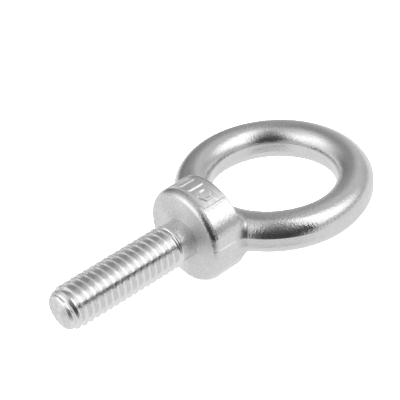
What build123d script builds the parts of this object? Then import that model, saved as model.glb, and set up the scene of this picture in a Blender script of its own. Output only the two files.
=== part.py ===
"""Shoulder eye bolt, 3/8-16 UNC x 1-1/4 in, in stainless steel. All sizes in millimetres.

The bolt lies along X with the eye's opening facing up (+Z). The origin is the centre of the
collar's seat face: the threaded shank runs to -X and the eye to +X. The real bolt is one
forging, so its named sections meet each other face to face and nothing in it moves.
"""

import os
from math import cos, radians, sin, sqrt, tan

from build123d import *

# ---------------------------------------------------------------- driving dimensions

# thread, 3/8-16 UNC
MAJOR_R = 9.525 / 2
PITCH = 25.4 / 16
THREAD_DEPTH = 0.6134 * PITCH
FLANK_ANGLE = 30                      # degrees from a plane square to the axis
CREST_FLAT = PITCH / 8
SHANK_LENGTH = 20 * PITCH             # seat face to tip, 31.75 mm
TIP_FACE_R = 3.5
TIP_CHAMFER = 1.9                     # along the axis
NECK_LENGTH = 2 * PITCH               # plain stretch under the seat
TURNS = 18                            # of thread, from the neck to the tip
NECK_R = 4.3
NECK_ROOT = 2.0                       # how far the neck runs into the collar
NECK_CHAMFER = 0.6                    # cone from the crests down to the neck, along the axis

# collar
COLLAR_R = 10.55
COLLAR_THICK = 8.0
SEAT_R = 9.6                          # machined seat face, inside the rounded rim
RIM_LENGTH = 1.45                     # rounded rim beside the seat, along the axis
RIM_BULGE = 0.35, 0.62                # a point of the rim: shares of its length and rise
BACK_ROUND = 0.45                     # rounding of the collar's back edge
FACET_HALF_HEIGHT = 3.8               # ground facets above and below the parting plane
FACET_DRAFT = 7                       # degrees

# as-forged panel with raised marks, on the collar's +Z side
PANEL_HALF_ANGLE = 32                 # degrees each side of +Z
PANEL_DEPTH = 0.16
PANEL_START, PANEL_END = 1.75, 7.3    # along X
MARK_HEIGHT = 0.3
MARK_LENGTH = 3.8                     # along X
BAR_WIDTH = 0.75
BAR_ANGLES = (1, -14)                 # degrees from +Z towards -Y
HEXAGON_ANGLE = 17
HEXAGON_R = 1.85
HEXAGON_INNER_R = 1.15

# eye
EYE_CENTRE = 26.0                     # seat face to the eye's centre
EYE_MEAN_R = 17.5
SECTION_RADIAL = 4.13                 # half axes of the section before the flash is trimmed
SECTION_VERTICAL = 4.3
LAND_OFFSET = 4.0                     # trimmed lands, from the section's centre
ROOT_FILLET = 2.0                     # eye to collar
ROOT_TOP = 11.0                       # plane where the root ends and the ring begins

LAND_HALF_HEIGHT = SECTION_VERTICAL * sqrt(1 - (LAND_OFFSET / SECTION_RADIAL) ** 2)
PANEL_R = COLLAR_R - PANEL_DEPTH
PANEL_MIDDLE = (PANEL_START + PANEL_END) / 2
ROOT_R = MAJOR_R - THREAD_DEPTH
EYE_AXIS = Axis((EYE_CENTRE, 0, 0), (0, 0, 1))

os.makedirs("parts", exist_ok=True)


def facet_outline():
    """The (y, z) corners of what the ground facets and the land take off the +Y side."""
    facet_y = sqrt(COLLAR_R**2 - FACET_HALF_HEIGHT**2)
    land_y = facet_y + (FACET_HALF_HEIGHT - LAND_HALF_HEIGHT) * tan(radians(FACET_DRAFT))
    outside = 1.5 * COLLAR_R
    return [
        (facet_y, FACET_HALF_HEIGHT),
        (land_y, LAND_HALF_HEIGHT),
        (land_y, -LAND_HALF_HEIGHT),
        (facet_y, -FACET_HALF_HEIGHT),
        (outside, -FACET_HALF_HEIGHT),
        (outside, FACET_HALF_HEIGHT),
    ]


def mark_plane(angle):
    """Plane just under the panel, square to the collar's radius at an angle from +Z to -Y."""
    outward = Vector(0, -sin(radians(angle)), cos(radians(angle)))
    centre = Vector(PANEL_MIDDLE, 0, 0) + outward * (PANEL_R - MARK_HEIGHT)
    return Plane(origin=centre, x_dir=(1, 0, 0), z_dir=outward)


def polar(radius, degrees):
    """A point of the thread's cross-section, from its radius and its turn about the axis."""
    return (radius * cos(radians(degrees)), radius * sin(radians(degrees)))


# ---------------------------------------------------------------- the forging above the seat

with BuildPart() as eye:
    # an oval section with its flash trimmed, swung round the eye's axis
    with BuildSketch(Plane.XZ) as eye_section:
        with Locations((EYE_CENTRE + EYE_MEAN_R, 0)):
            Ellipse(SECTION_RADIAL, SECTION_VERTICAL)
            Rectangle(2 * LAND_OFFSET, 3 * SECTION_VERTICAL, mode=Mode.INTERSECT)
    revolve(axis=EYE_AXIS)

with BuildPart() as side_trim:
    # what the ground facets and the flash land take off both sides of the collar
    with BuildSketch(Plane.YZ) as facets:
        with BuildLine():
            Polyline(*facet_outline(), close=True)
        make_face()
        mirror(about=Plane.YZ)
    extrude(amount=COLLAR_THICK)
    add(eye.part, mode=Mode.SUBTRACT)

with BuildPart() as marks:
    # generic raised marks: a hexagon ring and two plain bars across the panel
    with BuildSketch(mark_plane(HEXAGON_ANGLE)):
        RegularPolygon(HEXAGON_R, 6)
        RegularPolygon(HEXAGON_INNER_R, 6, mode=Mode.SUBTRACT)
    extrude(amount=2 * MARK_HEIGHT)
    for angle in BAR_ANGLES:
        with BuildSketch(mark_plane(angle)):
            SlotOverall(MARK_LENGTH, BAR_WIDTH)
        extrude(amount=2 * MARK_HEIGHT)

with BuildPart() as forging:
    # collar: a drum turned about X, its rim rounded beside the seat and its back edge broken
    with BuildSketch(Plane.XY) as drum_section:
        with BuildLine():
            Line((0, 0), (0, SEAT_R))
            rim_rise = RIM_BULGE[1] * (COLLAR_R - SEAT_R)
            rim_middle = (RIM_BULGE[0] * RIM_LENGTH, SEAT_R + rim_rise)
            ThreePointArc((0, SEAT_R), rim_middle, (RIM_LENGTH, COLLAR_R))
            side = Line((RIM_LENGTH, COLLAR_R), (COLLAR_THICK - BACK_ROUND, COLLAR_R))
            RadiusArc(side @ 1, (COLLAR_THICK, COLLAR_R - BACK_ROUND), BACK_ROUND)
            Polyline((COLLAR_THICK, COLLAR_R - BACK_ROUND), (COLLAR_THICK, 0), (0, 0))
        make_face()
    revolve(axis=Axis.X)
    add(eye.part)
    # the eye grows out of the collar's back face through a fillet above and below
    back_face = faces().filter_by(GeomType.PLANE).filter_by(Axis.X).sort_by(Axis.X)[-1]
    fillet(back_face.edges().filter_by(GeomType.BSPLINE), radius=ROOT_FILLET)
    add(side_trim.part, mode=Mode.SUBTRACT)
    # as-forged panel, left low where the rest of the drum is polished
    with BuildSketch(Plane.XY.rotated((90 - PANEL_HALF_ANGLE, 0, 0))) as panel_section:
        with Locations((PANEL_MIDDLE, COLLAR_R)):
            Rectangle(PANEL_END - PANEL_START, 2 * PANEL_DEPTH)
    revolve(axis=Axis.X, revolution_arc=2 * PANEL_HALF_ANGLE, mode=Mode.SUBTRACT)
    add(marks.part)

with BuildPart() as shank_neck:
    # it runs into the collar, which leaves the seat a flat ring round it
    with BuildSketch(Plane.YZ.offset(-NECK_LENGTH)):
        Circle(NECK_R)
    extrude(amount=NECK_LENGTH + NECK_ROOT)
shank_neck.part.label = "shank_neck"

with BuildPart() as collar:
    add(forging.part)
    split(bisect_by=Plane.YZ.offset(COLLAR_THICK), keep=Keep.BOTTOM)
    add(shank_neck.part, mode=Mode.SUBTRACT)
collar.part.label = "collar"

with BuildPart() as eye_root:
    add(forging.part)
    split(bisect_by=Plane.YZ.offset(COLLAR_THICK), keep=Keep.TOP)
    split(bisect_by=Plane.YZ.offset(ROOT_TOP), keep=Keep.BOTTOM)
eye_root.part.label = "eye_root"

with BuildPart() as eye_ring:
    add(forging.part)
    split(bisect_by=Plane.YZ.offset(ROOT_TOP), keep=Keep.TOP)
eye_ring.part.label = "eye_ring"

# ---------------------------------------------------------------- thread

# A cross-section of the thread is one closed outline, whose radius follows the thread's
# profile through one turn. Twisting it through a full turn over one pitch makes one turn of
# the thread with its core, and the turns stack up end to end.
FLANK_POINTS = 9
root_flat = PITCH - CREST_FLAT - 2 * THREAD_DEPTH * tan(radians(FLANK_ANGLE))
flank_start = 180 * root_flat / PITCH
flank_end = 180 - 180 * CREST_FLAT / PITCH
flank = [
    polar(
        ROOT_R + THREAD_DEPTH * i / (FLANK_POINTS - 1),
        flank_start + (flank_end - flank_start) * i / (FLANK_POINTS - 1),
    )
    for i in range(FLANK_POINTS)
]
other_flank = [(x, -y) for x, y in flank]
tip_plane = Plane.YZ.offset(-SHANK_LENGTH)

with BuildSketch(tip_plane) as thread_section:
    with BuildLine():
        Spline(*flank)
        ThreePointArc(flank[-1], polar(MAJOR_R, 180), other_flank[-1])
        Spline(*other_flank)
        ThreePointArc(other_flank[0], polar(ROOT_R, 0), flank[0])
    make_face()

twisted = Solid.extrude_linear_with_rotation(
    thread_section.sketch.faces()[0],
    center=tip_plane.origin,
    normal=(PITCH, 0, 0),
    angle=360,
)
# rebuilt from its faces, so that they all face outwards
one_turn = Solid(Shell(twisted.faces()))

with BuildPart() as end_trim:
    # rings that chamfer the thread at the tip and bring it down to the neck
    tip_slope = (MAJOR_R - TIP_FACE_R) / TIP_CHAMFER
    neck_slope = (MAJOR_R - NECK_R) / NECK_CHAMFER
    outside_r = 1.3 * MAJOR_R
    with BuildSketch(Plane.XY) as ring_sections:
        with BuildLine():
            Polyline(
                (-SHANK_LENGTH - 1, TIP_FACE_R - tip_slope),
                (-SHANK_LENGTH + 1.1 * TIP_CHAMFER, MAJOR_R + 0.1 * TIP_CHAMFER * tip_slope),
                (-SHANK_LENGTH + 1.1 * TIP_CHAMFER, outside_r),
                (-SHANK_LENGTH - 1, outside_r),
                close=True,
            )
        make_face()
        with BuildLine():
            Polyline(
                (-NECK_LENGTH + 1, NECK_R - neck_slope),
                (-NECK_LENGTH - 1.1 * NECK_CHAMFER, MAJOR_R + 0.1 * NECK_CHAMFER * neck_slope),
                (-NECK_LENGTH - 1.1 * NECK_CHAMFER, outside_r),
                (-NECK_LENGTH + 1, outside_r),
                close=True,
            )
        make_face()
    revolve(axis=Axis.X)

with BuildPart() as threaded_shank:
    with Locations(*[(PITCH * i, 0, 0) for i in range(TURNS)]):
        add(one_turn, clean=False)
    add(end_trim.part, mode=Mode.SUBTRACT, clean=False)
threaded_shank.part.label = "threaded_shank"

# ---------------------------------------------------------------- export

for piece in (eye_ring, eye_root, collar, shank_neck, threaded_shank):
    export_step(piece.part, f"parts/{piece.part.label}.step")
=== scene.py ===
"""Looks of the shoulder eye bolt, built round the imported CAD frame.

The bolt lies along X with its eye to +X and the eye's opening facing up (+Z). Lengths named in
this file are in millimetres, and MM turns them into Blender's metres. Three detailed pieces
stand for the five CAD nodes: the eye with its root, the collar, and the shank.
"""

import math

import bpy
import numpy as np
from mathutils import Matrix, Vector


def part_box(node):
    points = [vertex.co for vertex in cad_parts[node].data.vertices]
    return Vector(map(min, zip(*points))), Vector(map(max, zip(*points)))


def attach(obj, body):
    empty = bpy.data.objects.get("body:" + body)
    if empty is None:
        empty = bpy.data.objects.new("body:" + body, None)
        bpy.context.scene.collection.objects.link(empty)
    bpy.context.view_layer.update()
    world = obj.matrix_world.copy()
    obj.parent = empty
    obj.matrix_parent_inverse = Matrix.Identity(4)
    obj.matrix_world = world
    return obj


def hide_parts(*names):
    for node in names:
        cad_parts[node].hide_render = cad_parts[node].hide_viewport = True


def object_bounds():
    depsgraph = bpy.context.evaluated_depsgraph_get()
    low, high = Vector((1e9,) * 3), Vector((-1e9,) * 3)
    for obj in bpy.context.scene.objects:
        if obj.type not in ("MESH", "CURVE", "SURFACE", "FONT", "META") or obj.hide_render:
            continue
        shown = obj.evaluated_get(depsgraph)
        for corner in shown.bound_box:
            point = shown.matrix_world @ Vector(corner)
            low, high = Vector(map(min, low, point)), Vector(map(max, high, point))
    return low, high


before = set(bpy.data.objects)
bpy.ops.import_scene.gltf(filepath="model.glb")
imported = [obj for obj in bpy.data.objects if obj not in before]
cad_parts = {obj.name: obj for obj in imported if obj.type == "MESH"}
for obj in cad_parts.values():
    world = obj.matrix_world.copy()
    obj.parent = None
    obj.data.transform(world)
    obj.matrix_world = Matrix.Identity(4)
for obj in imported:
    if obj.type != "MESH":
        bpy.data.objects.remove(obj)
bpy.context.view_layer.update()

MM = 0.001

# ---------------------------------------------------------------- sizes

seat_x = 0.0                                        # the frame's origin lies on the seat
back_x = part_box("collar")[1].x / MM                 # collar's back face
collar_r = -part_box("collar")[0].z / MM
tip_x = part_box("threaded_shank")[0].x / MM
neck_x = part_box("threaded_shank")[1].x / MM         # where the thread ends and the neck starts
major_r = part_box("threaded_shank")[1].z / MM
neck_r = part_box("shank_neck")[1].z / MM
eye_far_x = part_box("eye_ring")[1].x / MM
eye_outer_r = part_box("eye_ring")[1].y / MM
eye_half_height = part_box("eye_ring")[1].z / MM

# What the boxes don't show keeps the part's own sizes.
LAND_OFFSET = 4.0                                   # trimmed lands, from the section's centre
SECTION_RADIAL = 4.13                               # half axis of the section before trimming
FACET_HALF_HEIGHT = 3.8                             # ground facets each side of the parting plane
FACET_DRAFT = math.radians(7)
BACK_ROUND = 0.45                                   # rounding of the collar's back edge
PITCH = 25.4 / 16
TURNS = 18

eye_x = eye_far_x - eye_outer_r                     # the eye's centre
eye_mean_r = eye_outer_r - LAND_OFFSET
land_angle = math.acos(LAND_OFFSET / SECTION_RADIAL)
land_half_height = eye_half_height * math.sin(land_angle)
facet_y = math.sqrt(collar_r**2 - FACET_HALF_HEIGHT**2)
land_y = facet_y + (FACET_HALF_HEIGHT - land_half_height) * math.tan(FACET_DRAFT)

TINY = 1e-6                                         # keeps a divisor away from 0
HALVINGS = 24                                       # steps of a search by halving


# ---------------------------------------------------------------- mesh helpers


def add_attribute(piece, name, values):
    """A number for each of a piece's points."""
    attribute = piece.data.attributes.new(name, "FLOAT", "POINT")
    attribute.data.foreach_set("value", np.asarray(values, dtype=np.float32).reshape(-1))


def smoothstep(start, end, value):
    """0 before start, 1 after end, and smooth between."""
    t = np.clip((value - start) / (end - start), 0, 1)
    return t * t * (3 - 2 * t)


def grid_quads(rows, columns, close_rows=False, close_columns=False):
    """Corner numbers of the quads of a grid whose points are numbered row by row."""
    i = np.arange(rows if close_rows else rows - 1)
    j = np.arange(columns if close_columns else columns - 1)
    i, j = np.meshgrid(i, j, indexing="ij")
    down, along = (i + 1) % rows, (j + 1) % columns
    corners = [i * columns + j, i * columns + along, down * columns + along, down * columns + j]
    return np.stack(corners, -1).reshape(-1, 4)


def enclosed_volume(mesh):
    """Less than 0 if the faces look inwards."""
    mesh.calc_loop_triangles()
    corners = np.empty(len(mesh.loop_triangles) * 3, dtype=np.int32)
    mesh.loop_triangles.foreach_get("vertices", corners)
    places = np.empty(len(mesh.vertices) * 3, dtype=np.float32)
    mesh.vertices.foreach_get("co", places)
    a, b, c = places.reshape(-1, 3)[corners.reshape(-1, 3)].astype(float).swapaxes(0, 1)
    return np.einsum("ij,ij->", a, np.cross(b, c))


def make_piece(name, points, faces, materials, face_materials=None, sharp_angle=30, creases=None):
    """A piece of the object from points in millimetres. It is smooth except where its faces
    meet at more than sharp_angle, or, if creases gives each point a number, only along edges
    whose two points have the same number above 0."""
    mesh = bpy.data.meshes.new(name)
    mesh.from_pydata(
        (np.asarray(points) * MM).tolist(), [], [[int(corner) for corner in face] for face in faces]
    )
    if enclosed_volume(mesh) < 0:
        mesh.flip_normals()
    for material in materials:
        mesh.materials.append(material)
    if face_materials is not None:
        mesh.polygons.foreach_set("material_index", np.asarray(face_materials, dtype=np.int32))
    mesh.shade_smooth()
    if creases is None:
        mesh.set_sharp_from_angle(angle=math.radians(sharp_angle))
    else:
        ends = np.empty(len(mesh.edges) * 2, dtype=np.int32)
        mesh.edges.foreach_get("vertices", ends)
        first, second = creases[ends.reshape(-1, 2)].T
        sharp = mesh.attributes.new("sharp_edge", "BOOLEAN", "EDGE")
        sharp.data.foreach_set("value", (first > 0) & (first == second))
    mesh.update()
    piece = bpy.data.objects.new(name, mesh)
    bpy.context.scene.collection.objects.link(piece)
    return piece


# ---------------------------------------------------------------- materials


class Nodes:
    """Short forms for building a node tree."""

    def __init__(self, tree):
        self.tree = tree

    def add(self, kind, inputs=(), **settings):
        node = self.tree.nodes.new(kind)
        for key, value in settings.items():
            setattr(node, key, value)
        for key, value in dict(inputs).items():
            if isinstance(value, bpy.types.NodeSocket):
                self.tree.links.new(value, node.inputs[key])
            else:
                node.inputs[key].default_value = value
        return node

    def math(self, operation, first, second=0.0, clamp=False):
        node = self.add("ShaderNodeMath", {0: first, 1: second}, operation=operation)
        node.use_clamp = clamp
        return node.outputs[0]

    def ramp(self, value, low, high, to_low=0.0, to_high=1.0, smooth=True):
        kind = "SMOOTHSTEP" if smooth else "LINEAR"
        inputs = {"Value": value, "From Min": low, "From Max": high, "To Min": to_low, "To Max": to_high}
        return self.add("ShaderNodeMapRange", inputs, interpolation_type=kind).outputs[0]

    def noise(self, where, size_mm, detail=2.0, roughness=0.5):
        inputs = {"Vector": where, "Scale": 1 / (size_mm * MM), "Detail": detail, "Roughness": roughness}
        return self.add("ShaderNodeTexNoise", inputs).outputs["Fac"]

    def mix(self, factor, first, second):
        inputs = {"Factor": factor, "A": first, "B": second}
        return self.add("ShaderNodeMix", inputs, data_type="FLOAT").outputs["Result"]


DULL_ROUGHNESS = 0.22                               # added where polishing can't reach
BROAD_MM, FINE_MM = 4.0, 0.8                        # sizes of the patches of uneven polish


def steel(name, grey, roughness, roughness_spread, grain_mm, grain_depth_mm, streaks=None, mottle=0.04):
    """Bare steel: fine grain in the surface, uneven polish and a little variation of the grey.
    A piece's attribute "dull", from 0 to 1, makes it rougher, by up to DULL_ROUGHNESS."""
    material = bpy.data.materials.new(name)
    material.use_nodes = True
    tree = material.node_tree
    tree.nodes.clear()
    n = Nodes(tree)
    where = n.add("ShaderNodeTexCoord").outputs["Object"]
    broad = n.noise(where, BROAD_MM, detail=3.0)
    fine = n.noise(where, FINE_MM, detail=3.0)
    grain = n.noise(where, grain_mm, detail=2.0, roughness=0.55)
    uneven = n.math("ADD", n.math("MULTIPLY", broad, 0.6), n.math("MULTIPLY", fine, 0.4))
    rough = n.ramp(uneven, 0.3, 0.7, roughness - roughness_spread, roughness + roughness_spread)
    dull = n.add("ShaderNodeAttribute", attribute_name="dull").outputs["Fac"]
    rough = n.math("ADD", rough, n.math("MULTIPLY", dull, DULL_ROUGHNESS))
    blotch = n.math("ADD", n.math("MULTIPLY", uneven, 0.5), n.math("MULTIPLY", grain, 0.5))
    tone = n.ramp(blotch, 0.35, 0.65, grey * (1 - mottle), grey * (1 + mottle))
    colour = n.add("ShaderNodeCombineColor", {0: tone, 1: tone, 2: tone}).outputs[0]
    height = grain
    if streaks:
        height = n.math("ADD", grain, streaks(n, where))
    bump = n.add(
        "ShaderNodeBump", {"Height": height, "Strength": 1.0, "Distance": grain_depth_mm * MM}
    )
    shader = n.add(
        "ShaderNodeBsdfPrincipled",
        {"Base Color": colour, "Roughness": rough, "Metallic": 1.0, "Normal": bump.outputs[0]},
    )
    output = n.add("ShaderNodeOutputMaterial")
    tree.links.new(shader.outputs[0], output.inputs["Surface"])
    return material


def turned_rings(spacing_mm):
    """Fine rings round the bolt's axis, as a lathe tool leaves them."""

    def pattern(n, where):
        split = n.add("ShaderNodeSeparateXYZ", {0: where})
        y2 = n.math("POWER", split.outputs["Y"], 2.0)
        z2 = n.math("POWER", split.outputs["Z"], 2.0)
        radius = n.math("SQRT", n.math("ADD", y2, z2))
        turns = n.math("MULTIPLY", radius, 2 * math.pi / (spacing_mm * MM))
        return n.math("MULTIPLY", n.math("SINE", turns), 0.5)

    return pattern


# grey, roughness and its spread, grain size and grain depth
polished = steel("polished_steel_finish", 0.70, 0.07, 0.03, 0.40, 0.055)
ground = steel("ground_steel_finish", 0.70, 0.12, 0.05, 0.80, 0.045)
machined = steel("machined_steel_finish", 0.83, 0.44, 0.10, 0.45, 0.070, turned_rings(0.22), 0.12)
plain_neck = steel("plain_neck_finish", 0.76, 0.26, 0.08, 0.45, 0.060, mottle=0.12)
as_forged = steel("as_forged_steel_finish", 0.84, 0.34, 0.08, 0.55, 0.040)
threaded = steel("threaded_steel_finish", 0.80, 0.10, 0.03, 0.30, 0.034)


# ---------------------------------------------------------------- eye and root

ROOT_FILLET = 2.0                                   # eye to the collar's back face
SIDE_FILLET = 1.2                                   # eye to the collar's side
FILLET_CHANGE = 7.5, 10.5                           # where along Y one turns into the other
LEAST_HIDDEN, LEAST_FILLET = 0.4, 4                 # least width of these columns, degrees
FILLET_SEARCH = 60                                  # degrees, well past the fillet's end
WAVE_DEPTH = 0.012                                  # of each of two waves, above and below
DULL_FROM, DULL_FULLY = 3.0, 0.6                    # distances from the collar


def section_outline():
    """(offset, height, outward normal) round half the eye's section, from its outer waist over
    the top to its inner waist: half a land, the oval, half a land. Rows crowd together where
    the fillet rises to the collar's back face."""
    land_rows, outer_rows, fillet_rows, inner_rows = 6, 28, 18, 26
    rows = []
    for i in range(land_rows):
        rows.append((LAND_OFFSET, land_half_height * i / land_rows, 1.0, 0.0))
    foot = eye_x - back_x - eye_mean_r
    foot_angle = math.acos(foot / SECTION_RADIAL)
    top_angle = math.acos((foot - ROOT_FILLET) / SECTION_RADIAL)
    angles = list(np.linspace(land_angle, foot_angle, outer_rows, endpoint=False))
    for i in range(fillet_rows):
        off = foot - ROOT_FILLET * (1 - math.cos(math.pi / 2 * i / fillet_rows))
        angles.append(math.acos(off / SECTION_RADIAL))
    angles += list(np.linspace(top_angle, math.pi - land_angle, inner_rows))
    for angle in angles:
        across = SECTION_RADIAL * math.cos(angle)
        up = eye_half_height * math.sin(angle)
        slope = np.array([across / SECTION_RADIAL**2, up / eye_half_height**2])
        slope /= np.linalg.norm(slope)
        rows.append((across, up, slope[0], slope[1]))
    for i in range(land_rows - 1, -1, -1):
        rows.append((-LAND_OFFSET, land_half_height * i / land_rows, -1.0, 0.0))
    return rows


def collar_distance(p):
    """Distance from the plain collar's surface, less than 0 inside it."""
    x, y, z = p[..., 0], np.abs(p[..., 1]), np.abs(p[..., 2])
    facet = land_y - np.maximum(z - land_half_height, 0) * math.tan(FACET_DRAFT)
    out_side = np.maximum(np.hypot(y, z) - collar_r, y - facet) + BACK_ROUND
    out_end = np.maximum(x - back_x, -x) + BACK_ROUND
    outside = np.hypot(np.maximum(out_side, 0), np.maximum(out_end, 0))
    return np.minimum(np.maximum(out_side, out_end), 0) + outside - BACK_ROUND


def fillet_height(base, normal, radius):
    """How far a fillet stands off the eye's own surface where the eye meets the collar."""
    low, high = np.zeros(radius.shape), radius.copy()
    for _ in range(HALVINGS):
        middle = (low + high) / 2
        off_collar = collar_distance(base + normal * middle[..., None])
        gap = radius - np.hypot(radius - middle, np.maximum(radius - off_collar, 0))
        low = np.where(gap < 0, middle, low)
        high = np.where(gap < 0, high, middle)
    return np.where(collar_distance(base) >= radius, 0.0, high)


def eye_surface(outline, turn):
    """Points and outward normals of the plain eye. turn is one angle or more for each row."""
    cos, sin = np.cos(turn), np.sin(turn)
    radius = eye_mean_r + outline[:, 0:1]
    base = np.stack([eye_x + radius * cos, radius * sin, outline[:, 1:2] + 0 * cos], -1)
    normal = np.stack([outline[:, 2:3] * cos, outline[:, 2:3] * sin, outline[:, 3:4] + 0 * cos], -1)
    return base, normal


def fillet_radius(base):
    """The fillet is wider on the collar's back face than against its side."""
    return ROOT_FILLET + (SIDE_FILLET - ROOT_FILLET) * smoothstep(*FILLET_CHANGE, np.abs(base[..., 1]))


def turn_where(outline, condition):
    """For each row, how far round from the collar (radians) a condition first holds."""
    low = np.zeros((len(outline), 1))
    high = np.full((len(outline), 1), math.radians(FILLET_SEARCH))
    for _ in range(HALVINGS):
        middle = (low + high) / 2
        holds = condition(*eye_surface(outline, math.pi + middle))
        low, high = np.where(holds, low, middle), np.where(holds, middle, high)
    return high


def build_eye():
    """The eye with its root, one closed surface that runs on into the collar."""
    half = section_outline()
    # the lower half mirrors the upper one; both waist rows are shared
    outline = np.array(half + [(u, -w, nu, -nw) for u, w, nu, nw in half[-2:0:-1]])

    def foot_is_out(base, normal):
        return collar_distance(base + normal * fillet_radius(base)[..., None]) > 0

    def past_fillet(base, normal):
        return collar_distance(base) > fillet_radius(base)

    # Columns: hidden in the collar, up the fillet by equal angles, then evenly round the eye.
    # The other side mirrors them.
    foot = np.maximum(turn_where(outline, foot_is_out), math.radians(LEAST_HIDDEN))
    end = np.maximum(turn_where(outline, past_fillet), foot + math.radians(LEAST_FILLET))
    hidden, rising, even = 14, 22, 250
    rise = 1 - np.cos(math.pi / 2 * np.arange(rising)[None, :] / rising)
    inside = np.linspace(-1, 1, hidden, endpoint=False)[None, 1:] * foot
    up_fillet = foot + (end - foot) * rise
    far = end + (2 * math.pi - 2 * end) * np.arange(even + 1)[None, :] / even
    down_fillet = 2 * math.pi - up_fillet[:, ::-1]
    turn = math.pi + np.concatenate([inside, up_fillet, far, down_fillet], axis=1)

    base, normal = eye_surface(outline, turn)
    height = fillet_height(base, normal, fillet_radius(base))
    # faint unevenness of forging, which only lowers the surface
    wave = np.sin(3 * turn + 2.0 * outline[:, 1:2]) + np.sin(7 * turn - 1.3 * outline[:, 0:1])
    height = height + WAVE_DEPTH * wave - 2 * WAVE_DEPTH
    points = (base + normal * height[..., None]).reshape(-1, 3)
    rows, columns = turn.shape
    faces = grid_quads(rows, columns, close_rows=True, close_columns=True)
    # the trimmed lands have crisp edges, and so has the fillet's foot
    creases = np.zeros((rows, columns), dtype=int)
    land_edges = np.flatnonzero(np.isclose(np.abs(outline[:, 1]), land_half_height))
    for number, row in enumerate(land_edges, start=1):
        creases[row] = number
    for number, column in enumerate((hidden - 1, -1), start=len(land_edges) + 1):
        creases[:, column] = np.where(creases[:, column] > 0, creases[:, column], number)
    piece = make_piece("eye", points, faces, [polished], creases=creases.reshape(-1))
    add_attribute(piece, "dull", smoothstep(DULL_FROM, DULL_FULLY, collar_distance(base)))
    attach(piece, "root")
    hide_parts("eye_ring", "eye_root")


# ---------------------------------------------------------------- collar

SEAT_R = 9.6
RIM_LENGTH = 1.45                                   # rounded rim beside the seat, along the axis
RIM_TILTS = 62, 20                                  # the rim's slope at the seat and at the side
LAND_STEP = 0.08                                    # the flash land stands a little proud
LAND_EDGE = 0.5                                     # width of that step, degrees round the collar

# As-forged panel with raised marks, on the +Z side. Its blends are lengths outside and inside.
PANEL_HALF_ANGLE = 32                               # degrees each side of +Z
PANEL_DEPTH = 0.16
PANEL_START, PANEL_END = 1.75, 7.3
PANEL_START_BLEND = 0.2, 0.9
PANEL_END_BLEND = 0.2, 0.6
PANEL_SIDE_BLEND = 0.5                              # degrees, outside and inside
MARK_HEIGHT = 0.25                                  # above the panel
MARK_EDGE = 0.2                                     # half the width of a mark's sloping edge
MARK_HALF_LENGTH = 1.9
BAR_HALF_WIDTH = 0.375
BAR_ANGLES = (1, -14)                               # degrees from +Z towards -Y
HEXAGON_ANGLE = 17
HEXAGON_R, HEXAGON_INNER_R = 1.85, 1.15

COLLAR_FINISHES = [ground, machined, as_forged, polished]
GROUND, MACHINED, AS_FORGED, POLISHED = range(4)


def rim_share(t):
    """How much of the rim's rise is reached a share t of the way along it. It turns over
    quickly beside the seat and then more and more slowly."""
    along = np.linspace(0, 1, 201)
    start, end = RIM_TILTS
    slope = np.tan(np.radians(end + (start - end) * (1 - along) ** 2))
    rise = np.concatenate([[0], np.cumsum((slope[1:] + slope[:-1]) / 2)])
    return float(np.interp(t, along, rise / rise[-1]))


def side_radius(phi):
    """The collar's radius at an angle from +Z, with the ground facets taken off."""
    y, z = np.abs(np.sin(phi)), np.abs(np.cos(phi))
    slope = math.tan(FACET_DRAFT)
    height = land_y * z / np.maximum(y, TINY)
    on_land = smoothstep(land_half_height + LAND_STEP, land_half_height, height)
    land = (land_y + LAND_STEP * (on_land - 1)) / np.maximum(y, TINY)
    facet = (land_y + land_half_height * slope) / np.maximum(y + z * slope, TINY)
    return np.minimum(np.minimum(land, facet), collar_r)


def bar_mark(along, degrees, angle):
    """1 on a rounded bar along the axis, 0 off it."""
    across = collar_r * np.radians(degrees - angle)
    past_end = np.maximum(np.abs(along) - (MARK_HALF_LENGTH - BAR_HALF_WIDTH), 0)
    off = np.hypot(past_end, across) - BAR_HALF_WIDTH
    return smoothstep(MARK_EDGE, -MARK_EDGE, off)


def hexagon_mark(along, degrees, angle):
    """1 on a hexagonal ring, 0 off it."""
    across = collar_r * np.radians(degrees - angle)
    side = math.sqrt(3) / 2
    hexagon = np.maximum.reduce(
        [np.abs(across), np.abs(along * side + across / 2), np.abs(along * side - across / 2)]
    )
    off = np.abs(hexagon - side * (HEXAGON_R + HEXAGON_INNER_R) / 2)
    off = off - side * (HEXAGON_R - HEXAGON_INNER_R) / 2
    return smoothstep(MARK_EDGE, -MARK_EDGE, off)


def panel_height(x, phi):
    """What the as-forged panel and its raised marks add to the radius. It is minus the panel's
    depth inside the panel."""
    degrees = np.degrees(phi)
    outer, inner = PANEL_HALF_ANGLE + PANEL_SIDE_BLEND, PANEL_HALF_ANGLE - PANEL_SIDE_BLEND
    inside = smoothstep(outer, inner, np.abs(degrees))
    outer, inner = PANEL_START - PANEL_START_BLEND[0], PANEL_START + PANEL_START_BLEND[1]
    inside = inside * smoothstep(outer, inner, x)
    outer, inner = PANEL_END + PANEL_END_BLEND[0], PANEL_END - PANEL_END_BLEND[1]
    inside = inside * smoothstep(outer, inner, x)
    along = x - (PANEL_START + PANEL_END) / 2
    mark = hexagon_mark(along, degrees, HEXAGON_ANGLE)
    for angle in BAR_ANGLES:
        mark = np.maximum(mark, bar_mark(along, degrees, angle))
    # two faint waves, as forging leaves them
    uneven = 0.015 * np.sin(2.1 * x + 5 * phi) + 0.012 * np.sin(3.7 * x - 17 * phi)
    return inside * (-PANEL_DEPTH + uneven + MARK_HEIGHT * mark)


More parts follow.
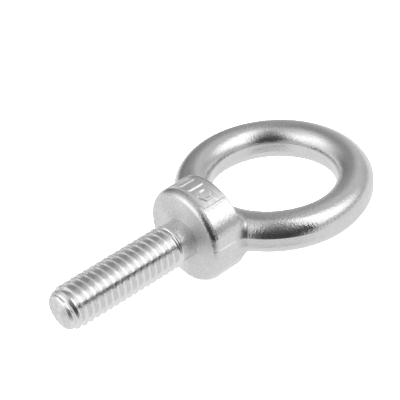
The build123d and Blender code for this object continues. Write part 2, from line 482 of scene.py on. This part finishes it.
def collar_columns():
    """Angles round the collar from +Z towards -Y, close together over the panel and with a
    column at each edge of the facets and lands."""
    facet_at = math.degrees(math.acos(FACET_HALF_HEIGHT / collar_r))
    land_at = math.degrees(math.atan2(land_y, land_half_height))
    # (angle, columns from there to the next angle)
    stops = [
        (0, 76), (PANEL_HALF_ANGLE - 1, 10), (PANEL_HALF_ANGLE + 1, 34), (facet_at, 14),
        (land_at - LAND_EDGE, 1), (land_at, 12), (180 - land_at, 1), (180 + LAND_EDGE - land_at, 14),
        (180 - facet_at, 64), (180, 0),
    ]
    angles = []
    for (a, count), (b, _) in zip(stops, stops[1:]):
        angles += list(np.linspace(a, b, count, endpoint=False))
    half = np.array(angles + [180.0])
    return np.radians(np.concatenate([half, 360 - half[-2:0:-1]]))


def collar_rows(phi):
    """Places along the axis, radii and finishes of the collar's rows, from the seat's middle
    over the rim and the side to the back's middle."""
    signed = (phi + math.pi) % (2 * math.pi) - math.pi
    side = side_radius(phi)
    side_end = back_x - BACK_ROUND
    seat_rings = (0.4, 1.0, 2.0, 3.0, neck_r, 5.0, 6.0, 7.0, 8.0, 9.0, SEAT_R)
    back_rings = (9.0, 7.5, 6.0, 4.0, 2.0, 0.4)
    rim_rows, side_rows, back_rows = 14, 76, 6
    rows = []

    def row(x, r, finish):
        rows.append((x + 0 * phi, r + 0 * phi, finish))

    for r in seat_rings:
        row(seat_x, r, MACHINED)
    for i in range(1, rim_rows + 1):
        rise = (side - SEAT_R) * rim_share(i / rim_rows)
        row(RIM_LENGTH * i / rim_rows, SEAT_R + rise, POLISHED)
    for i in range(1, side_rows + 1):
        x = RIM_LENGTH + (side_end - RIM_LENGTH) * i / side_rows
        row(x, side + panel_height(x + 0 * phi, signed), GROUND)
    for i in range(1, back_rows + 1):
        angle = math.pi / 2 * (1 - i / back_rows)
        x = side_end + BACK_ROUND * math.cos(angle)
        row(x, side - BACK_ROUND * (1 - math.sin(angle)), GROUND)
    for r in back_rings:
        row(back_x, r, GROUND)
    xs, radii, finishes = zip(*rows)
    return np.array(xs), np.array(radii), finishes


def build_collar():
    """The drum with its seat, rim, facets, lands and as-forged panel."""
    phi = collar_columns()
    x, r, row_finishes = collar_rows(phi)
    points = np.stack([x, -r * np.sin(phi), r * np.cos(phi)], -1).reshape(-1, 3)
    faces = [tuple(f) for f in grid_quads(len(x), len(phi), close_columns=True)]
    finishes = list(np.repeat(row_finishes[1:], len(phi)))
    # small flat faces close the middles of the seat and of the back
    last = (len(x) - 1) * len(phi)
    faces += [tuple(range(len(phi)))[::-1], tuple(range(last, last + len(phi)))]
    finishes += [MACHINED, GROUND]
    middle = np.array([points[list(f)].mean(0) for f in faces])
    around = np.degrees(np.arctan2(-middle[:, 1], middle[:, 2]))
    in_panel = (np.abs(around) < PANEL_HALF_ANGLE) & (np.hypot(middle[:, 1], middle[:, 2]) > SEAT_R)
    in_panel &= (middle[:, 0] > PANEL_START) & (middle[:, 0] < PANEL_END)
    finishes = np.where(in_panel, AS_FORGED, finishes)
    piece = make_piece("collar_body", points, faces, COLLAR_FINISHES, finishes, sharp_angle=12)
    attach(piece, "root")
    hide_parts("collar")


# ---------------------------------------------------------------- shank

CREST_WIDTH = PITCH / 8
THREAD_DEPTH = 0.6134 * PITCH                       # of a unified external thread
FLANK_ANGLE = math.radians(60)                      # from the axis
THREAD_PHASE = 0.43                                 # where the thread starts, along the axis
TIP_FACE_R = 3.5
TIP_BEVEL = 0.45                                    # at 45 degrees, then a slower taper
TIP_TAPER = 2.3
RUNOUT = 1.3                                        # the groove fades out towards the neck
NECK_END = 1.0                                      # hidden inside the collar
STEPS = 96                                          # columns round the shank

SHANK_FINISHES = [threaded, plain_neck, machined]
THREADED, PLAIN_NECK, TIP = range(3)


def thread_profile():
    """(place along one pitch, depth below the crest) of the thread, from one crest's middle to
    the next: flat crest, straight flank, flat root."""
    flank = THREAD_DEPTH / math.tan(FLANK_ANGLE)
    crest_end = CREST_WIDTH / 2
    half = [(0.0, 0.0), (crest_end, 0.0)]
    for share in (0.25, 0.5, 0.75, 1.0):
        half.append((crest_end + flank * share, THREAD_DEPTH * share))
    half.append((PITCH / 2, THREAD_DEPTH))
    return np.array(half + [(PITCH - place, depth) for place, depth in half[-2:0:-1]])


def merge_points(points, faces):
    """Points that share a place become one, and faces that this flattens are dropped."""
    _, first, number = np.unique(
        np.round(points, 5), axis=0, return_index=True, return_inverse=True
    )
    number = number.reshape(-1)
    kept = []
    for face in number[np.asarray(faces)]:
        corners = [c for c, before in zip(face, np.roll(face, 1)) if c != before]
        if len(set(corners)) > 2:
            kept.append(tuple(corners))
    return points[first], kept, number


def shank_points(x, r, theta):
    """Points at places x along the axis, radii r and angles theta from +Z towards -Y."""
    return np.stack([x, -r * np.sin(theta), r * np.cos(theta)], -1)


def thread_surface(theta):
    """Points and faces of the thread from tip to neck, with how many rows it has. Each row
    follows the helix for one turn. What would pass the tip or the neck is held there."""
    profile = thread_profile()
    pitches = TURNS + 3
    start = tip_x - 1.5 * PITCH + THREAD_PHASE
    along = np.concatenate([start + i * PITCH + profile[:, 0] for i in range(pitches)])
    depth = np.tile(profile[:, 1], pitches)
    x = along[:, None] + PITCH * theta[None, :] / (2 * math.pi)
    x = np.clip(x, tip_x, neck_x)
    r = major_r - depth[:, None] + 0 * x
    bevel_r = TIP_FACE_R + TIP_BEVEL
    taper_slope = (major_r - bevel_r) / (TIP_TAPER - TIP_BEVEL)
    r = np.minimum(r, TIP_FACE_R + (x - tip_x))
    r = np.minimum(r, bevel_r + (x - tip_x - TIP_BEVEL) * taper_slope)
    r = r + (neck_r - r) * smoothstep(neck_x - RUNOUT, neck_x, x)
    count = len(along)
    faces = []
    for i in range(count - 1):
        for j in range(STEPS - 1):
            a = i * STEPS + j
            faces.append((a, a + 1, a + 1 + STEPS, a + STEPS))
        # after a whole turn a row meets the row one pitch on
        onward = i + len(profile)
        if onward <= count - 2:
            a, b = i * STEPS + STEPS - 1, onward * STEPS
            faces.append((a, b, b + STEPS, a + STEPS))
    return shank_points(x, r, theta).reshape(-1, 3), faces, count


def ring_faces(first, second):
    """Quads between two rings, given as the numbers of their points."""
    return [
        (first[j], first[(j + 1) % STEPS], second[(j + 1) % STEPS], second[j]) for j in range(STEPS)
    ]


def build_shank():
    """The thread with its tip and the plain neck, one closed surface."""
    around = np.arange(STEPS)
    theta = 2 * math.pi * around / STEPS
    points, faces, count = thread_surface(theta)
    # the thread's last row lies at the neck all the way round, and the neck goes on from it
    ring = (count - 1) * STEPS + around
    neck_rows = 8
    for i in range(1, neck_rows + 1):
        x = neck_x * (1 - i / neck_rows) + seat_x + NECK_END * i / neck_rows
        before, ring = ring, len(points) + around
        points = np.concatenate([points, shank_points(x + 0 * theta, neck_r, theta)])
        faces += ring_faces(before, ring)
    points, faces, number = merge_points(points, faces)
    end_ring = number[ring]
    middle_x = np.array([points[list(face), 0].mean() for face in faces])
    finishes = list(np.where(middle_x > neck_x, PLAIN_NECK, THREADED))
    # the tip's face, in rings down to a small middle
    ring = number[around]
    for share in (0.75, 0.5, 0.25):
        before, ring = ring, len(points) + around
        r = TIP_FACE_R * share
        points = np.concatenate([points, shank_points(tip_x + 0 * theta, r, theta)])
        tip_faces = ring_faces(ring, before)
        faces += tip_faces
        finishes += [TIP] * len(tip_faces)
    faces.append(tuple(ring[::-1]))
    faces.append(tuple(end_ring))
    finishes += [TIP, THREADED]
    piece = make_piece("shank", points, faces, SHANK_FINISHES, finishes, sharp_angle=28)
    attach(piece, "root")
    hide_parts("threaded_shank", "shank_neck")


build_eye()
build_collar()
build_shank()


# ---------------------------------------------------------------- studio


def direction(azimuth, elevation):
    """Unit vector from angles in degrees; azimuth turns from +X towards +Y."""
    a, e = math.radians(azimuth), math.radians(elevation)
    return Vector((math.cos(a) * math.cos(e), math.sin(a) * math.cos(e), math.sin(e)))


# What the steel mirrors: even sky and ground, and panels in front of them.
SKY_LEVEL = 0.65
GROUND_LEVEL = 0.90
HORIZON = 5.0                                       # degrees of elevation
HORIZON_FADE = 5.0
# Azimuth, elevation, half width, half height, how softly its sides and its top and bottom fade
# (degrees), level. Later ones stand in front of earlier ones.
PANELS = {
    "wall behind": (65, 60, 25, 45, 20, 20, 0.35),
    "low card on the wall": (75, 10, 20, 15, 20, 10, 0.25),
    "far softbox": (165, 35, 45, 20, 20, 25, 1.5),
    "dark room round the camera": (-130, 10, 35, 35, 20, 25, 0.05),
    "large softbox": (-60, 50, 35, 30, 20, 10, 1.5),
    "table edge below it": (-30, 15, 50, 5, 5, 15, 0.5),
    "gap between the softboxes": (-135, 45, 10, 35, 25, 25, 0.1),
}


def build_world():
    """The panels are seen in the metal. The camera itself sees plain white behind the bolt."""
    world = bpy.data.worlds.new("studio")
    bpy.context.scene.world = world
    world.use_nodes = True
    world.node_tree.nodes.clear()
    n = Nodes(world.node_tree)
    look = n.add("ShaderNodeTexCoord").outputs["Generated"]

    def dot(towards):
        inputs = {0: look, 1: towards}
        return n.add("ShaderNodeVectorMath", inputs, operation="DOT_PRODUCT").outputs["Value"]

    def window(away, half, fade):
        return n.ramp(n.math("ABSOLUTE", away), half + fade, half - fade)

    height = n.math("DEGREES", n.math("ARCSINE", dot((0, 0, 1))))
    level = n.ramp(
        height, HORIZON - HORIZON_FADE, HORIZON + HORIZON_FADE, GROUND_LEVEL, SKY_LEVEL
    )
    for panel in PANELS.values():
        azimuth, elevation, half_width, half_height, side_fade, end_fade, panel_level = panel
        forward = dot(direction(azimuth, 0))
        sideways = dot(direction(azimuth + 90, 0))
        turn = n.math("DEGREES", n.math("ARCTAN2", sideways, forward))
        across = window(turn, half_width, side_fade)
        along = window(n.math("SUBTRACT", height, elevation), half_height, end_fade)
        level = n.mix(n.math("MULTIPLY", across, along), level, panel_level)
    colour = n.add("ShaderNodeCombineColor", {0: level, 1: level, 2: level}).outputs[0]
    mirrored = n.add("ShaderNodeBackground", {"Color": colour, "Strength": 1.0})
    plain = n.add("ShaderNodeBackground", {"Color": (1, 1, 1, 1), "Strength": 1.0})
    camera_ray = n.add("ShaderNodeLightPath").outputs["Is Camera Ray"]
    shown = n.add(
        "ShaderNodeMixShader", {0: camera_ray, 1: mirrored.outputs[0], 2: plain.outputs[0]}
    )
    output = n.add("ShaderNodeOutputWorld")
    world.node_tree.links.new(shown.outputs[0], output.inputs["Surface"])


# Cards close to the bolt, in front of the shank and behind it: (corners, grey)
CARDS = {
    "dark_card": ([(0, -66, 4), (18.5, -40, 5.5), (18.5, -40, 16), (0, -66, 42)], 0.02),
    "grey_card": ([(-15, 44, -6), (-68, 40, -6), (-68, 40, 12), (-15, 44, 12)], 0.12),
}


def matt(name, grey):
    """Matt material of one grey, for the stage."""
    material = bpy.data.materials.new(name)
    material.use_nodes = True
    shader = material.node_tree.nodes["Principled BSDF"]
    shader.inputs["Base Color"].default_value = (grey, grey, grey, 1)
    shader.inputs["Roughness"].default_value = 1.0
    shader.inputs["Specular IOR Level"].default_value = 0.0
    return material


def build_cards():
    """The cards are seen only in the metal."""
    for name, (corners, grey) in CARDS.items():
        card = make_piece(name, np.array(corners), [(0, 1, 2, 3)], [matt(name, grey)])
        card.visible_camera = False
        card.visible_diffuse = False
        card.visible_shadow = False


FLOOR_HALF_SIZE = 3000.0
FLOOR_GREY = 0.95


def build_floor():
    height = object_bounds()[0].z / MM
    signs = [(-1, -1), (1, -1), (1, 1), (-1, 1)]
    corners = [(FLOOR_HALF_SIZE * x, FLOOR_HALF_SIZE * y, height) for x, y in signs]
    floor = make_piece("floor", np.array(corners), [(0, 1, 2, 3)], [matt("floor_white", FLOOR_GREY)])
    floor.visible_glossy = False


def build_lights():
    """Even light from the whole sky, strong enough to burn the floor out to white."""
    light = bpy.data.lights.new("overhead", "SUN")
    light.energy = 16.0
    light.angle = math.pi
    lamp = bpy.data.objects.new("overhead", light)
    lamp.visible_glossy = False
    bpy.context.scene.collection.objects.link(lamp)


# The photograph's viewing angle, in degrees. The target is a point on the bolt's axis, seen this far
# to the right of the picture's middle and this far above it.
CAMERA_AZIMUTH, CAMERA_ELEVATION, CAMERA_ROLL = -38.12, 35.53, -6.34
CAMERA_TARGET = 12.0, 0.0, 0.0
TARGET_RIGHT, TARGET_UP = 5.41, -2.39
CAMERA_DISTANCE = 263.5
SENSOR_WIDTH, FOCAL_LENGTH = 36.0, 112.96


def build_camera():
    azimuth, elevation = math.radians(CAMERA_AZIMUTH), math.radians(CAMERA_ELEVATION)
    roll = math.radians(CAMERA_ROLL)
    back = np.array([
        math.sin(azimuth) * math.cos(elevation),
        -math.cos(azimuth) * math.cos(elevation),
        math.sin(elevation),
    ])
    level_right = np.array([math.cos(azimuth), math.sin(azimuth), 0.0])
    level_up = np.cross(back, level_right)
    right = math.cos(roll) * level_right + math.sin(roll) * level_up
    up = math.cos(roll) * level_up - math.sin(roll) * level_right
    target = np.array(CAMERA_TARGET)
    place = target - TARGET_RIGHT * right - TARGET_UP * up + CAMERA_DISTANCE * back
    data = bpy.data.cameras.new("camera")
    data.sensor_width = SENSOR_WIDTH
    data.lens = FOCAL_LENGTH
    data.clip_start, data.clip_end = 0.01, 20.0
    camera = bpy.data.objects.new("camera", data)
    turn = Matrix((right, up, back)).transposed().to_4x4()
    camera.matrix_world = Matrix.Translation(Vector(place * MM)) @ turn
    bpy.context.scene.collection.objects.link(camera)
    bpy.context.scene.camera = camera


build_world()
build_floor()
build_cards()
build_lights()
build_camera()
bpy.context.scene.view_settings.view_transform = "Standard"
